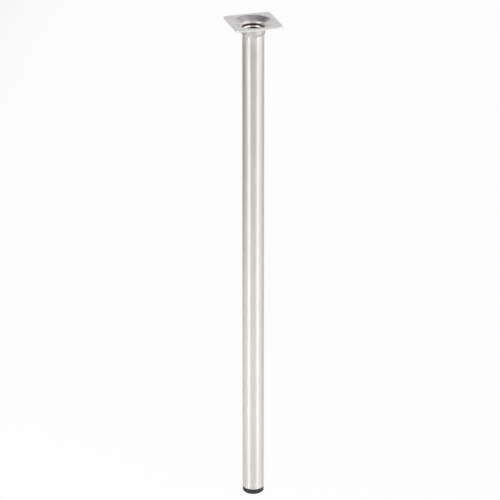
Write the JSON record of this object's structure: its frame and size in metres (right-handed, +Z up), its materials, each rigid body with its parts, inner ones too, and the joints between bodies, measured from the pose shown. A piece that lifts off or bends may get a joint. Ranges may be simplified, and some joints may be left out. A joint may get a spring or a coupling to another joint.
{
  "type": "furniture leg",
  "caption": "Straight round furniture leg: a brushed steel tube welded into the drawn collar of a square pressed mounting plate, with a black push-in plastic foot.",
  "frame": {"origin": "centre of the foot's underside, on the floor", "axes": "+Z up the leg's axis towards the mounting plate, X and Y along the plate's edges"},
  "size_m": [0.066, 0.066, 0.7],
  "materials": {
    "pressed_plate": "satin pressed steel sheet",
    "brushed_tube": "fine satin brushing round the tube",
    "weld_metal": "rippled weld, brushed over",
    "black_foot": "finely textured moulded plastic"
  },
  "bodies": {
    "root": {"mounting_plate": "pressed_plate", "leg_tube": "brushed_tube", "weld_bead": "weld_metal", "foot_cap": "black_foot"}
  },
  "joints": []
}
